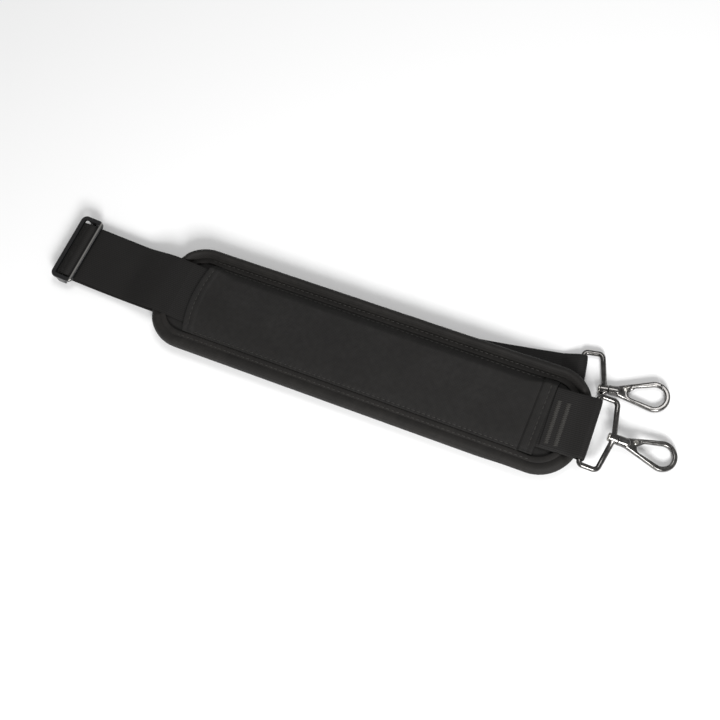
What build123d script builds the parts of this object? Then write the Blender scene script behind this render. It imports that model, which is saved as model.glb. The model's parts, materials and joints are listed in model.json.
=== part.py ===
from build123d import *
import math
import os

# A padded shoulder strap lies on a flat surface, folded in half at its shortest setting.
# X runs along the pad towards the hooks, Y across it and Z up. The origin is on the
# surface, under the middle of the pad. Lengths are in millimetres, angles in degrees.

# ---- webbing -----------------------------------------------------------------------------
webbing_width = 38.0
webbing_thickness = 1.2
layer_gap = 0.3            # air between two layers of webbing that lie on each other
stack_gap = 0.2            # air over the pad's border and inside the sleeve
free_webbing = 70.1        # from the pad's end to the fold at the far end
drop_length = 20.5         # stretch in which the webbing comes down from the pad
tab_length = 24.1          # turned-back end behind ring a
tab_sewn_gap = 0.2
tab_rise = 9.0             # the tab starts to rise this far behind ring a's bar
strap_rise = 5.0           # and the strap under it this far behind
pad_edge_lead = 1.0        # the webbing starts down this far past the pad's end
bend_lap = 0.3             # overlap of two stretches where the webbing turns
fold_reach = 0.2           # the slider's frame beyond the fold
bar_after_fold = 3.2       # from the fold to the slider's round bar
floor_after_fold = 5.0     # from the fold to where the lower leg starts to turn
ring_b_lead = 12.0         # straight stretch of the lower leg before ring b
ring_b_top = 2.0           # the return leg leaves ring b's top this far behind its bar
ring_b_foot = 11.5         # and is down on the lower leg this far behind it
tail_gap = 0.1             # between the return leg and its sewn tail
tail_fall = 11.0           # from the slider's round bar to where the tail lies down
return_tab_length = 34.0   # turned-back end behind the slider
bend_inset = 34.5          # where it turns inside the sleeve, from the pad's ends
strap_offset = 0.2         # the webbing lies a little off the sleeve's middle
hook_side_yaw = 2.5        # the webbing leaves the sleeve slightly turned at both ends
slider_side_yaw = -2.9
floor_turn = 13.4          # how far the lower leg turns in plan on its way to ring b

# ---- pad ---------------------------------------------------------------------------------
pad_length = 279.0
pad_width = 68.0
pad_corner = 24.0
border_width = 9.0
border_roundness = 4.2
backing_thickness = 1.0
foam_thickness = 6.2
cover_thickness = 1.2
border_rise = 0.8          # the rolled border stands this much above the cover
lifted_length = 34.0       # the pad's end that lies over ring b
lift_run = 23.0            # stretch in which the pad's underside rises to it

# ---- sleeve ------------------------------------------------------------------------------
sleeve_length = 232.2
sleeve_width = 48.4
sleeve_wall = 1.0
sleeve_side_gap = 1.4
hem_bulge = 4.0
hem_margin = 5.5
seam_margin = 1.6

# ---- thread ------------------------------------------------------------------------------
thread_width = 0.5
thread_height = 0.3
tab_tacks = (5.4, 11.0)    # from the tab's cut end
tab_tack_start = -14.0
tab_tack_end = 11.0
return_tacks = (8.0, 13.0) # from the tail's cut end
return_tack_reach = 13.0

# ---- slider ------------------------------------------------------------------------------
slider_length = 16.2
slider_width = 46.0
slider_corner = 4.0
slider_bar_height = 1.8
near_bar_width = 2.4
far_bar_width = 3.0
slider_side_gap = 1.4
centre_bar_radius = 1.0
centre_bar_gap = 0.15
lug_length = 6.0
lug_offset = -0.6          # the lugs stand this far from the slider's middle
slider_edge = 0.5
slider_rim = 0.7
window_corner = 1.0

# ---- rings, swivels and hooks --------------------------------------------------------------
ring_wire = 1.6            # radius
ring_inside_margin = 0.9   # between the webbing's edge and the ring's rail
rail_length = 11.0
ring_apex = 15.0
ring_corner = 3.2
ring_bar_corner = 2.3      # tight enough to leave the bar straight across the webbing
bar_clearance = 0.1        # between the ring's bar and the webbing round it
boss_radius = 2.9
boss_start = 12.8
boss_end = 17.0
post_radius = 1.6
post_tail = 0.8            # the post stops this far short of the stem's ball
head_rounding = 0.9
running_clearance = 0.05
head_radius = 2.6
head_thickness = 1.4
axial_clearance = 0.2
hook_end = 53.0            # from the ring's bar to the hook's nose
nose_radius = 9.0
hook_wall = 3.0
hook_half_thickness = 1.7
hook_edge = 1.1
stem_radius = 3.0
stem_centre = 22.5
stem_edge = 0.6
eye_start = 32.0
eye_small_radius = 3.2
gate_pivot = (27.4, 2.0)
gate_eye_radius = 2.3
gate_half_thickness = 0.75
gate_start = 30.4
gate_tip = (46.6, 8.62)    # on the hook's outer edge
gate_tip_slant = 21.6
gate_root_lift = 0.75
gate_link = 0.9            # the root's far end beyond the gate's start
gate_slope = 16.4          # the eye's side runs out at this angle
gate_gap = 0.35
slot_gap = 0.35
pin_radius = 0.9
pin_press = 0.02
pin_head_radius = 1.4
pin_head_height = 0.3
spring_radius = 0.85
spring_bore = 0.5
spring_offset = 1.3
spring_start = 22.5

ring_a_overhang = 2.1      # ring a's bar beyond the pad's end
ring_a_rise = 1.0          # ring a's bar above the webbing on the pad
ring_b_inset = 13.5        # ring b's bar short of the pad's end
hook_a_pitch = 12.6        # hook a comes down from the pad to the surface
hook_b_roll = 5.0

# ---- heights and places that follow --------------------------------------------------------
half_webbing = webbing_thickness / 2
floor_layer = half_webbing
return_layer = floor_layer + webbing_thickness + layer_gap
pad_bottom = 2 * (webbing_thickness + layer_gap)
foam_bottom = pad_bottom + backing_thickness
cover_bottom = foam_bottom + foam_thickness
cover_top = cover_bottom + cover_thickness
border_top = cover_top + border_rise
top_layer = border_top + stack_gap + half_webbing
sleeve_ceiling = top_layer + half_webbing + stack_gap
sleeve_top = sleeve_ceiling + sleeve_wall
tab_layer = top_layer + webbing_thickness + tab_sewn_gap

bar_turn = ring_wire + bar_clearance + half_webbing
ring_b_height = floor_layer + bar_turn
lifted_bottom = ring_b_height + bar_turn + half_webbing + layer_gap
ring_a_height = top_layer + ring_a_rise - half_webbing

centre_bar_turn = centre_bar_radius + centre_bar_gap + half_webbing
centre_bar_height = return_layer + centre_bar_turn
slider_layer = centre_bar_height + centre_bar_turn + webbing_thickness + layer_gap
slider_bar_bottom = slider_layer + half_webbing + layer_gap
slider_top = slider_bar_bottom + slider_bar_height

half_pad = pad_length / 2
bend_a = half_pad - bend_inset
bend_c = -half_pad + bend_inset
ring_a_along = (half_pad + ring_a_overhang - bend_a) / math.cos(math.radians(hook_side_yaw))
fold_radius = (slider_layer - floor_layer) / 2
fold_along = -half_pad - free_webbing - bend_c
slider_along = fold_along + bar_after_fold
slider_middle = fold_along - fold_radius - half_webbing - fold_reach + slider_length / 2
floor_start_along = fold_along + floor_after_fold
tail_layer = return_layer + webbing_thickness + tail_gap


def heading(angle):
    """The unit vector at an angle in plan."""
    return Vector(math.cos(math.radians(angle)), math.sin(math.radians(angle)))


def placed(spot, yaw, pitch=0.0, roll=0.0):
    """A place turned in plan, then pitched nose down, then rolled about its own length."""
    return Pos(*spot) * Rot(0, 0, yaw) * Rot(0, pitch, 0) * Rot(roll, 0, 0)


hook_side = placed((bend_a, strap_offset, 0), hook_side_yaw)
slider_side = placed((bend_c, strap_offset, 0), slider_side_yaw)

floor_start = Vector(bend_c, strap_offset) + heading(slider_side_yaw) * floor_start_along
ring_b_yaw = slider_side_yaw + floor_turn
floor_end_x = half_pad - ring_b_inset - ring_b_lead * math.cos(math.radians(ring_b_yaw))
floor_radius = (floor_end_x - floor_start.X) / (
    math.sin(math.radians(ring_b_yaw)) - math.sin(math.radians(slider_side_yaw))
)
floor_centre = floor_start + heading(slider_side_yaw + 90) * floor_radius
floor_end = floor_centre + heading(ring_b_yaw - 90) * floor_radius
ring_b_spot = floor_end + heading(ring_b_yaw) * ring_b_lead

ring_a_spot = Vector(bend_a, strap_offset) + heading(hook_side_yaw) * ring_a_along
ring_a_place = placed((ring_a_spot.X, ring_a_spot.Y, ring_a_height), hook_side_yaw, hook_a_pitch)
ring_b_place = placed((ring_b_spot.X, ring_b_spot.Y, ring_b_height), ring_b_yaw)


def ribbon(path):
    """Webbing that follows a path drawn as (along, height), as wide as the webbing."""
    section = trace(path, line_width=webbing_thickness)
    return Rot(90, 0, 0) * extrude(section, amount=webbing_width / 2, both=True)


def touch_point(point, centre, radius, side):
    """Where a straight line from a point touches a circle; side is +1 above, -1 below."""
    reach = Vector(*point) - Vector(*centre)
    spread = math.degrees(math.acos(radius / reach.length))
    base = math.degrees(math.atan2(reach.Y, reach.X))
    return Vector(*centre) + heading(base - side * spread) * radius


def loop_path(lower, upper, centre, radius, reach=1):
    """A path that comes in below a bar, goes round it and leaves above it."""
    low_touch = touch_point(lower[-1], centre, radius, -1 * reach)
    high_touch = touch_point(upper[0], centre, radius, 1 * reach)
    far_side = Vector(*centre) + Vector(radius * reach, 0)
    low_line = Polyline(*lower, low_touch)
    turn = ThreePointArc(low_touch, far_side, high_touch)
    high_line = Polyline(high_touch, *upper)
    return low_line, turn, high_line


def floor_strip(height):
    """A flat layer of webbing that follows the arc in plan."""
    inner = floor_radius - webbing_width / 2
    outer = floor_radius + webbing_width / 2
    near = CenterArc(floor_centre, inner, slider_side_yaw - 90, floor_turn)
    far = CenterArc(floor_centre, outer, slider_side_yaw - 90, floor_turn)
    outline = [near, Line(near @ 1, far @ 1), far, Line(far @ 0, near @ 0)]
    strip = extrude(make_face(outline), amount=webbing_thickness)
    return Pos(0, 0, height - half_webbing) * strip


def ring_b_frame(along):
    """The place on the lower leg that is this far along from ring b's bar."""
    spot = ring_b_spot + heading(ring_b_yaw) * along
    return placed((spot.X, spot.Y, 0), ring_b_yaw)


def make_webbing_strap():
    """The strap from its sewn tab, over the pad, round the far fold and under to ring b."""
    lap = webbing_width / 2 * math.tan(math.radians(abs(slider_side_yaw))) + bend_lap
    middle = Pos((bend_a + bend_c) / 2, strap_offset, top_layer) * Box(
        bend_a - bend_c, webbing_width, webbing_thickness
    )
    lower = [(-lap, top_layer), (ring_a_along - strap_rise, top_layer)]
    upper = [(ring_a_along - tab_rise, tab_layer), (ring_a_along - tab_length, tab_layer)]
    loop_a = loop_path(lower, upper, (ring_a_along, ring_a_height), bar_turn)
    pad_edge = -half_pad - bend_c
    run_down = Polyline(
        (lap, top_layer),
        (pad_edge - pad_edge_lead, top_layer),
        (pad_edge - drop_length, slider_layer),
        (fold_along, slider_layer),
    )
    fold = ThreePointArc(
        (fold_along, slider_layer),
        (fold_along - fold_radius, floor_layer + fold_radius),
        (fold_along, floor_layer),
    )
    run_back = Line((fold_along, floor_layer), (floor_start_along, floor_layer))
    loop_b = [
        Line((-ring_b_lead, floor_layer), (0, floor_layer)),
        ThreePointArc(
            (0, floor_layer), (bar_turn, ring_b_height), (0, ring_b_height + bar_turn)
        ),
    ]
    strap = middle
    for piece in loop_a:
        strap += hook_side * ribbon(piece)
    for piece in (run_down, fold, run_back):
        strap += slider_side * ribbon(piece)
    strap += floor_strip(floor_layer)
    for piece in loop_b:
        strap += ring_b_frame(0) * ribbon(piece)
    return strap


def make_return_leg():
    """The leg from ring b back under the pad to the slider, with its end round the bar."""
    rise = Polyline(
        (0, ring_b_height + bar_turn),
        (-ring_b_top, ring_b_height + bar_turn),
        (-ring_b_foot, return_layer),
        (-ring_b_lead, return_layer),
    )
    lead = Line((floor_start_along, return_layer), (slider_along, return_layer))
    turn = ThreePointArc(
        (slider_along, return_layer),
        (slider_along - centre_bar_turn, centre_bar_height),
        (slider_along, centre_bar_height + centre_bar_turn),
    )
    tail = Polyline(
        (slider_along, centre_bar_height + centre_bar_turn),
        (slider_along + tail_fall, tail_layer),
        (slider_along + return_tab_length, tail_layer),
    )
    leg = floor_strip(return_layer) + ring_b_frame(0) * ribbon(rise)
    for piece in (lead, turn, tail):
        leg += slider_side * ribbon(piece)
    return leg


def pad_side(bottom, lifted, top):
    """A block with the pad's side view: its underside rises over ring b."""
    reach = half_pad + 5
    lifted_from = half_pad - lifted_length
    outline = Polyline(
        (-reach, bottom),
        (lifted_from - lift_run, bottom),
        (lifted_from, lifted),
        (reach, lifted),
        (reach, top),
        (-reach, top),
        close=True,
    )
    return Rot(90, 0, 0) * extrude(make_face(outline), amount=pad_width, both=True)


def pad_plan(inset):
    """The pad's outline, a given distance inside its edge."""
    return RectangleRounded(pad_length - 2 * inset, pad_width - 2 * inset, pad_corner - inset)


def make_pad_edge_binding():
    """The rolled border that holds the pad's layers together all round."""
    outer = extrude(pad_plan(0), amount=border_top)
    outer = fillet(outer.edges().group_by(Axis.Z)[-1], border_roundness)
    border = outer - extrude(pad_plan(border_width), amount=border_top)
    return border & pad_side(pad_bottom, lifted_bottom, border_top)


def pad_layer(bottom, lifted, top):
    """One layer of the pad inside its border."""
    return extrude(pad_plan(border_width), amount=top) & pad_side(bottom, lifted, top)


def hem_arc(inset, half_width):
    """The sleeve's curved hem on the slider's side, a given distance inside its edge."""
    end = -sleeve_length / 2 + hem_bulge + inset
    return ThreePointArc(
        (end, half_width), (-sleeve_length / 2 + inset, 0), (end, -half_width)
    )


def make_sleeve_panel():
    """The panel sewn down along both sides, so that the webbing runs through under it."""
    half = sleeve_width / 2
    end = sleeve_length / 2
    hem = hem_arc(0, half)
    sides = Polyline(hem @ 1, (end, -half), (end, half), hem @ 0)
    panel = extrude(make_face([hem, *sides.edges()]), amount=sleeve_top - cover_top)
    tunnel_height = sleeve_ceiling - cover_top
    tunnel = Box(
        2 * sleeve_length,
        webbing_width + 2 * sleeve_side_gap,
        tunnel_height,
        align=(Align.CENTER, Align.CENTER, Align.MIN),
    )
    return Pos(0, 0, cover_top) * (panel - tunnel)


def thread(path, height):
    """A row of thread lying on a flat face."""
    row = extrude(trace(path, line_width=thread_width), amount=thread_height)
    return Pos(0, 0, height) * row


def make_sleeve_thread():
    """The rows along the sleeve's two sides and inside its two hems."""
    row_y = sleeve_width / 2 - seam_margin
    reach = sleeve_length / 2 - 2 * hem_margin
    sides = [Line((-reach, side * row_y), (reach, side * row_y)) for side in (-1, 1)]
    rows = [thread(side, sleeve_top) for side in sides]
    rows.append(thread(hem_arc(hem_margin, row_y - 2 * seam_margin), sleeve_top))
    hem_x = sleeve_length / 2 - hem_margin / 2
    rows.append(thread(Line((hem_x, -row_y), (hem_x, row_y)), sleeve_top))
    return Compound(children=[solid for row in rows for solid in row.solids()])


def make_border_thread():
    """The rows along the inner edge of the rolled border, on its two long sides."""
    y = pad_width / 2 - border_width + 2 * thread_width
    straight = half_pad - pad_corner
    runs = [Line((-straight, side * y), (straight, side * y)) for side in (-1, 1)]
    return Compound(children=[s for run in runs for s in thread(run, border_top).solids()])


def make_tab_thread():
    """The two bar tacks that hold the turned-back end behind ring a."""
    rows = []
    for from_end in tab_tacks:
        along = ring_a_along - tab_length + from_end
        line = Line((along, tab_tack_start), (along, tab_tack_end))
        row = thread(line, tab_layer + half_webbing)
        rows += (hook_side * row).solids()
    return Compound(children=rows)


def make_return_thread():
    """The two bar tacks that hold the end turned back behind the slider."""
    rows = []
    for from_end in return_tacks:
        along = slider_along + return_tab_length - from_end
        line = Line((along, -return_tack_reach), (along, return_tack_reach))
        row = thread(line, tail_layer + half_webbing)
        rows += (slider_side * row).solids()
    return Compound(children=rows)


def make_slider():
    """The three-bar slider: two bars over the webbing and a round one under it."""
    upper = extrude(RectangleRounded(slider_length, slider_width, slider_corner), amount=slider_bar_height)
    window_length = slider_length - near_bar_width - far_bar_width
    window_width = webbing_width + 2 * slider_side_gap
    window = Pos((far_bar_width - near_bar_width) / 2, 0, 0) * RectangleRounded(
        window_length, window_width, window_corner
    )
    upper = fillet(upper.edges().group_by(Axis.Z)[-1], slider_rim)
    upper -= extrude(window, amount=slider_bar_height)
    lug_height = slider_bar_bottom - centre_bar_height + centre_bar_radius
    lug_width = (slider_width - window_width) / 2
    slider = Pos(0, 0, slider_bar_bottom) * upper
    for side in (-1, 1):
        lug = Box(lug_length, lug_width, lug_height, align=(Align.CENTER, Align.CENTER, Align.MAX))
        lug = fillet(lug.edges().filter_by(Axis.Z), slider_edge)
        slider += Pos(lug_offset, side * (slider_width - lug_width) / 2, slider_bar_bottom) * lug
    bar_x = slider_along - slider_middle
    bar = Pos(bar_x, 0, centre_bar_height) * Rot(90, 0, 0) * Cylinder(
        centre_bar_radius, window_width + lug_width
    )
    return slider_side * Pos(slider_middle, 0, 0) * (slider + bar)


def teardrop(big, small, start):
    """A drop in plan: a large circle at the nose, a small one towards the ring."""
    nose = Pos(hook_end - nose_radius, 0) * Circle(big)
    root = Pos(start, 0) * Circle(small)
    return make_hull([*nose.edges(), *root.edges()])


def hook_blank():
    """The whole drop-shaped eye before the gate is taken out of it."""
    outline = teardrop(nose_radius, stem_radius, stem_centre)
    outline -= teardrop(nose_radius - hook_wall, eye_small_radius, eye_start)
    blank = extrude(outline, amount=hook_half_thickness, both=True)
    rims = blank.edges().group_by(Axis.Z)
    return fillet([*rims[0], *rims[-1]], hook_edge)


def gate_window(start, retreat):
    """The stretch of the eye that the gate takes up, with its slanted end."""
    slope = math.tan(math.radians(gate_tip_slant))
    low, high = 1.0, nose_radius + 3
    tip_low = gate_tip[0] + (gate_tip[1] - low) * slope - retreat
    tip_high = gate_tip[0] - (high - gate_tip[1]) * slope - retreat
    outline = Polyline((start, low), (tip_low, low), (tip_high, high), (start, high), close=True)
    return extrude(make_face(outline), amount=2 * hook_half_thickness, both=True)


def gate_root(grow, half_thickness):
    """The flat root that carries the gate on its pin."""
    eye = Pos(*gate_pivot) * Circle(gate_eye_radius + grow)
    middle = hook_end - nose_radius - gate_start
    reach_y = (nose_radius - hook_wall / 2) - middle * math.tan(math.radians(gate_slope)) + gate_root_lift
    link = Pos(gate_start + gate_link, reach_y) * Circle(hook_wall / 2 - 0.1 + grow)
    return extrude(make_hull([*eye.edges(), *link.edges()]), amount=half_thickness, both=True)


def along_x(radius, start, end, y=0.0):
    """A cylinder whose axis runs along the hook."""
    return Pos((start + end) / 2, y, 0) * Rot(0, 90, 0) * Cylinder(radius, end - start)


def make_ring():
    """The wire ring, with the boss that its swivel turns in."""
    half_bar = webbing_width / 2 + ring_inside_margin + ring_wire
    path = FilletPolyline(
        (0, 0),
        (0, half_bar),
        (rail_length, half_bar),
        (ring_apex, 0),
        (rail_length, -half_bar),
        (0, -half_bar),
        (0, -1),
        radius=[ring_bar_corner, ring_corner, ring_corner, ring_corner, ring_bar_corner],
    )
    wire = sweep(Plane(origin=path @ 0, z_dir=path % 0) * Circle(ring_wire), path=path)
    ring = wire + Pos(0, -0.5, 0) * Rot(90, 0, 0) * Cylinder(ring_wire, 1.0)
    ring += along_x(boss_radius, boss_start, boss_end)
    return ring - along_x(post_radius + running_clearance, boss_start - 2, boss_end + 2)


def make_swivel_post():
    """The headed post that turns in the ring's boss and is fixed in the hook."""
    post_end = stem_centre - post_tail
    head_end = boss_start - axial_clearance
    post = along_x(post_radius, head_end - 0.5, post_end)
    head = along_x(head_radius, head_end - head_thickness, head_end)
    return post + fillet(head.edges().group_by(Axis.X)[0], head_rounding)


def make_hook_body():
    """The stem and the drop-shaped eye, open where the gate closes it."""
    stem = along_x(stem_radius, boss_end + axial_clearance, stem_centre)
    stem = fillet(stem.edges().group_by(Axis.X)[0], stem_edge)
    body = hook_blank() + stem + Pos(stem_centre, 0, 0) * Sphere(stem_radius)
    body -= gate_window(gate_start - slot_gap, -gate_gap / 2)
    body -= gate_root(slot_gap, gate_half_thickness + slot_gap / 2)
    body -= along_x(post_radius, boss_end - 1, stem_centre - post_tail)
    pocket_end = gate_pivot[0] - gate_eye_radius
    body -= along_x(spring_radius + 0.1, spring_start - 0.1, pocket_end, spring_offset)
    return body - Pos(*gate_pivot, 0) * Cylinder(pin_radius + pin_press, 10)


def make_gate():
    """The sprung gate: a stretch of the eye on a flat root with a bore for its pin."""
    gate = hook_blank() & gate_window(gate_start, gate_gap / 2)
    gate += gate_root(0, gate_half_thickness)
    return gate - Pos(*gate_pivot, 0) * Cylinder(pin_radius + running_clearance, 10)


def make_gate_pin():
    """The rivet through the hook's ears and the gate's root."""
    pin = Cylinder(pin_radius, 2 * hook_half_thickness)
    for side in (-1, 1):
        head = Pos(0, 0, side * (hook_half_thickness + pin_head_height / 2)) * Cylinder(
            pin_head_radius, pin_head_height
        )
        pin += head
    return Pos(*gate_pivot, 0) * pin


def make_gate_spring():
    """The envelope of the small coil spring behind the gate's root."""
    drop = spring_offset - gate_pivot[1]
    end = gate_pivot[0] - math.sqrt(gate_eye_radius**2 - drop**2) - 0.15
    coil = along_x(spring_radius, spring_start, end, spring_offset)
    return coil - along_x(spring_bore, spring_start - 1, end + 1, spring_offset)


def hook_set(letter, ring_place, roll):
    """The seven pieces of one ring, swivel and hook, by name."""
    hook_place = ring_place * Rot(roll, 0, 0)
    return {
        f"ring_{letter}": ring_place * make_ring(),
        f"swivel_post_{letter}": hook_place * make_swivel_post(),
        f"hook_body_{letter}": hook_place * make_hook_body(),
        f"gate_{letter}": hook_place * make_gate(),
        f"gate_pin_{letter}": hook_place * make_gate_pin(),
        f"gate_spring_{letter}": hook_place * make_gate_spring(),
    }


def make_nodes():
    """Every piece of the strap, by name."""
    nodes = {
        "pad_edge_binding": make_pad_edge_binding(),
        "sleeve_panel": make_sleeve_panel(),
        "sleeve_thread": make_sleeve_thread(),
        "border_thread": make_border_thread(),
        "webbing_strap": make_webbing_strap(),
        "webbing_return_leg": make_return_leg(),
        "tab_thread": make_tab_thread(),
        "return_thread": make_return_thread(),
        "slider": make_slider(),
    }
    foam = pad_layer(foam_bottom, lifted_bottom + backing_thickness, cover_bottom)
    nodes["pad_backing"] = pad_layer(pad_bottom, lifted_bottom, cover_bottom) - foam
    nodes["pad_foam_core"] = foam
    nodes["pad_top_cover"] = pad_layer(cover_bottom, cover_bottom, cover_top)
    nodes.update(hook_set("a", ring_a_place, 0.0))
    nodes.update(hook_set("b", ring_b_place, hook_b_roll))
    return nodes


def main():
    os.makedirs("parts", exist_ok=True)
    for name, shape in make_nodes().items():
        export_step(shape, f"parts/{name}.step")


main()
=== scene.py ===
# %% [markdown]
# # A padded shoulder strap in Blender
# The strap lies folded in half: flat webbing runs through a sewn sleeve on a soft pad, with a
# slider at one end and two swivelling snap hooks at the other. The construction comes as a
# fixed frame with every piece at its real size. This lesson gives the cloth, the pad and the
# metal their look. Lengths are worked out in millimetres and become metres in the mesh.

# %% Load the frame
import json
import math

import bmesh
import bpy
import numpy as np
from mathutils import Matrix, Vector

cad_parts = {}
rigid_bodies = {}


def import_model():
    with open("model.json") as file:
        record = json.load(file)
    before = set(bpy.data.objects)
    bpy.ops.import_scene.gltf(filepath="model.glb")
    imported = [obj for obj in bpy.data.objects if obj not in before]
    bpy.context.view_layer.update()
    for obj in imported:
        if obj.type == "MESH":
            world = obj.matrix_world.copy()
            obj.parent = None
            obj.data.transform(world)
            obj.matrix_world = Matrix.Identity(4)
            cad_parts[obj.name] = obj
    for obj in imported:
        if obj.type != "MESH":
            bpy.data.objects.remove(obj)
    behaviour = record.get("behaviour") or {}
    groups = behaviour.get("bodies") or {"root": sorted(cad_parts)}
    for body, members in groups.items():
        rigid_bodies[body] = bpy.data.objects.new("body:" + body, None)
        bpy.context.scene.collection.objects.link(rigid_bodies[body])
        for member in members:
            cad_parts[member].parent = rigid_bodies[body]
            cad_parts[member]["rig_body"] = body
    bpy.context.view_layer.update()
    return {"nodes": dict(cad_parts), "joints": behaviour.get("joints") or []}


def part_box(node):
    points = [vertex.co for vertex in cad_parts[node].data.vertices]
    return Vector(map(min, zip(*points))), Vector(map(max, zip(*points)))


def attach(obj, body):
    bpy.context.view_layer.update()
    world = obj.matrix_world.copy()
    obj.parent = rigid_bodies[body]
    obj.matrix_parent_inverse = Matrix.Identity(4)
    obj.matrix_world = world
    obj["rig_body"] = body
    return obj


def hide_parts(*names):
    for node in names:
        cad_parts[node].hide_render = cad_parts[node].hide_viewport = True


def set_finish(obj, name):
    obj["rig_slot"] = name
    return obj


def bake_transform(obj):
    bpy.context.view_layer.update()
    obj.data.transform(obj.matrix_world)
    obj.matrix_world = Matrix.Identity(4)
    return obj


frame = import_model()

MM = 0.001
joints = {joint["name"]: joint for joint in frame["joints"]}


# %% [markdown]
# ## Reading sizes off the frame
# The frame already knows where every bar, edge and axis is, so nothing is placed by eye. A box
# gives a piece's lowest and highest corner, and a joint gives its pivot and its axis. Reading
# them keeps the cloth on the metal when a size changes.


# %% Places read from the frame
def node_box(name):
    """The lowest and highest corner of a piece, in millimetres."""
    low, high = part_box(name)
    return np.array(low) / MM, np.array(high) / MM


def pivot(name):
    """A joint's pivot, in millimetres."""
    return np.array(joints[name]["pos_m"]) / MM


border_low, border_high = node_box("pad_edge_binding")
slider_low, slider_high = node_box("slider")
panel_high = node_box("sleeve_panel")[1]
cover_high = node_box("pad_top_cover")[1]
strap_low = node_box("webbing_strap")[0]
leg_low = node_box("webbing_return_leg")[0]
ring_a = pivot("ring_a_hinge")
ring_b = pivot("ring_b_hinge")
axis_a = joints["ring_a_hinge"]["axis"]
axis_b = joints["ring_b_hinge"]["axis"]
slide = joints["slider_adjust"]["axis"]
yaw_a = math.atan2(axis_a[0], -axis_a[1])
yaw_b = math.atan2(axis_b[0], -axis_b[1])
yaw_c = math.atan2(slide[1], slide[0])
print("ring bars at", ring_a.round(1), ring_b.round(1))
print("turned by", [round(math.degrees(a), 1) for a in (yaw_a, yaw_b, yaw_c)], "degrees")


# %% [markdown]
# ## Surfaces from arrays
# Cloth is easiest to control as a grid: every point is a function of two numbers, one along the
# piece and one across it. Sculpting by hand would be quicker for a single wrinkle, but a formula
# keeps the width exact and can be changed later. These helpers turn a grid into a closed mesh
# with its faces pointing outwards.


# %% Grid helpers
def grid_faces(rows, columns, closed_across, first=0):
    """Quads between neighbours of a grid; closed_across joins the last column to the first."""
    row = np.arange(rows - 1)[:, None] * columns
    column = np.arange(columns if closed_across else columns - 1)[None, :]
    beside = (column + 1) % columns
    corners = [row + column, row + beside, row + columns + beside, row + columns + column]
    return np.stack(np.broadcast_arrays(*corners), axis=-1).reshape(-1, 4) + first


def tube_faces(rows, columns):
    """Quads round a tube, and one face over each end."""
    ring = np.arange(columns)
    ends = [ring[::-1].tolist(), ((rows - 1) * columns + ring).tolist()]
    return grid_faces(rows, columns, True).tolist() + ends


def put_in_scene(name, mesh, crease):
    """An object at the origin, smooth up to a crease in degrees."""
    mesh.polygons.foreach_set("use_smooth", np.full(len(mesh.polygons), True))
    mesh.set_sharp_from_angle(angle=math.radians(crease))
    piece = bpy.data.objects.new(name, mesh)
    bpy.context.scene.collection.objects.link(piece)
    return piece


def make_piece(name, points, faces, flat_map=None, crease=50):
    """A closed object from points in millimetres: doubles merged, faces outwards."""
    mesh = bpy.data.meshes.new(name)
    mesh.from_pydata((np.asarray(points) * MM).tolist(), [], [list(face) for face in faces])
    if flat_map is not None:
        corner = np.zeros(len(mesh.loops), np.int32)
        mesh.loops.foreach_get("vertex_index", corner)
        layer = mesh.uv_layers.new(name="flat")
        layer.data.foreach_set("uv", (np.asarray(flat_map)[corner] * MM).ravel())
    work = bmesh.new()
    work.from_mesh(mesh)
    bmesh.ops.remove_doubles(work, verts=work.verts, dist=1e-6)
    bmesh.ops.dissolve_degenerate(work, edges=work.edges, dist=1e-6)
    bmesh.ops.recalc_face_normals(work, faces=work.faces)
    loose = sum(len(edge.link_faces) != 2 for edge in work.edges)
    work.to_mesh(mesh)
    work.free()
    print(name, "-", len(mesh.polygons), "faces,", loose, "open edges")
    return put_in_scene(name, mesh, crease)


def ease(value):
    """A smooth step from 0 to 1: 3t^2 - 2t^3 between its ends."""
    t = np.clip(value, 0, 1)
    return t * t * (3 - 2 * t)


# %% [markdown]
# ## The webbing's route
# The webbing is one flat strip. It is stiff across its width and limp along its length, so it is
# a narrow section carried along a path, and never turns about its own edge. The path is drawn
# in three upright planes, one at each end of the pad and one at the slider, and in a long flat
# arc under the pad. Round a bar it is a circle that just clears the wire.

# %% Webbing sizes
WEBBING_WIDTH = 38.0
WEBBING_THICKNESS = 1.2
LAYER_GAP = 0.3
TOP_GAP = 0.2
BEND_IN = 34.5
STEP = 0.5
half_thick = WEBBING_THICKNESS / 2
half_pad = border_high[0]
half_wide = border_high[1]
floor_layer = strap_low[2] + half_thick
return_layer = leg_low[2] + half_thick
top_layer = border_high[2] + TOP_GAP + half_thick
tab_layer = top_layer + WEBBING_THICKNESS + TOP_GAP
bar_turn = ring_b[2] - floor_layer
bend_x = half_pad - BEND_IN
print("layers at", *[round(z, 2) for z in (floor_layer, return_layer, top_layer, tab_layer)])


# %% Lines, circles and planes
def touch(point, centre, radius, side):
    """Where a straight line from a point touches a circle; side is 1 above and -1 below."""
    reach = np.subtract(point, centre)
    angle = math.atan2(reach[1], reach[0]) - side * math.acos(radius / math.hypot(*reach))
    return np.add(centre, [radius * math.cos(angle), radius * math.sin(angle)])


def arc(centre, radius, start, end):
    """Points on a circle from one angle to another, in degrees."""
    count = max(int(abs(math.radians(end - start)) * radius / STEP * 2), 8)
    angle = np.radians(np.linspace(start, end, count))
    return np.stack([centre[0] + radius * np.cos(angle), centre[1] + radius * np.sin(angle)], 1)


def spaced(points, step=STEP):
    """The same line with its points an even step apart."""
    points = np.asarray(points, float)
    along = np.r_[0, np.cumsum(np.linalg.norm(np.diff(points, axis=0), axis=1))]
    keep = np.r_[True, np.diff(along) > 1e-9]
    even = np.linspace(0, along[-1], max(int(along[-1] / step), 2) + 1)
    return np.stack([np.interp(even, along[keep], column[keep]) for column in points.T], 1)


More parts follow.
